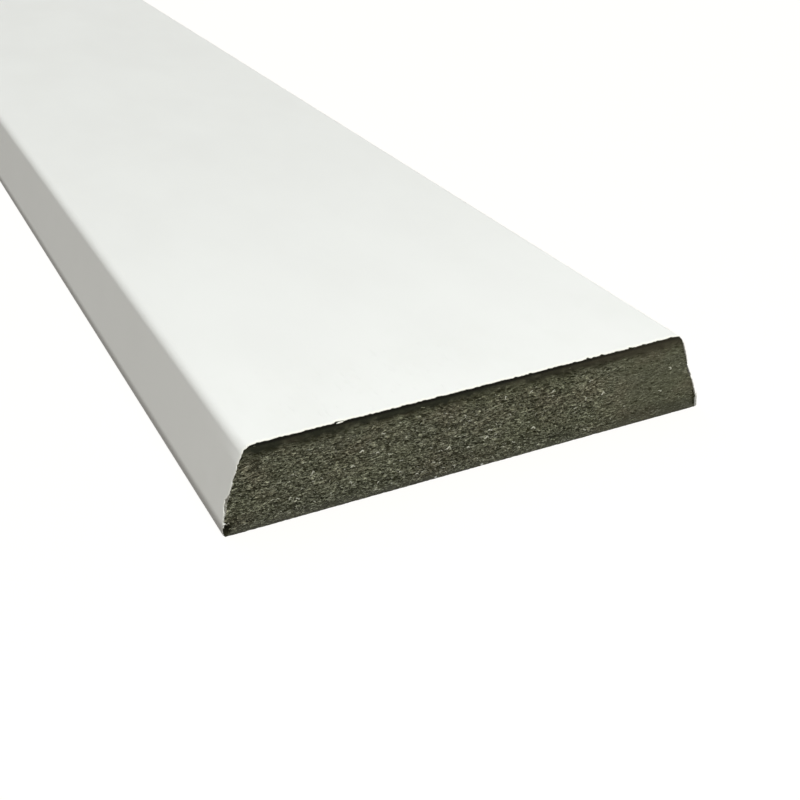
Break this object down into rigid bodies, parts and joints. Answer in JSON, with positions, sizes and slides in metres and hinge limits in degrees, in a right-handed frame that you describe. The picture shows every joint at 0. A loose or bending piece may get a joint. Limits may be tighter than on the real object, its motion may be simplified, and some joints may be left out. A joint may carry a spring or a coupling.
{
  "type": "architrave moulding",
  "caption": "Flat architrave board with both long edges bevelled and rounded, white coated on front and edges, bare fibreboard back and square sawn ends.",
  "frame": {"origin": "middle of the back face, which lies on the floor or against the wall", "axes": "+X across the board, +Y along its length, +Z out of the front face"},
  "size_m": [0.07, 2.44, 0.012],
  "materials": {
    "white_coat": "smooth satin white factory coat on medium density fibreboard",
    "bare_fibreboard": "bare moisture-resistant fibreboard, grey-green with redder patches, matt and fuzzy where sawn"
  },
  "bodies": {
    "root": {"architrave": "white_coat"}
  },
  "joints": []
}
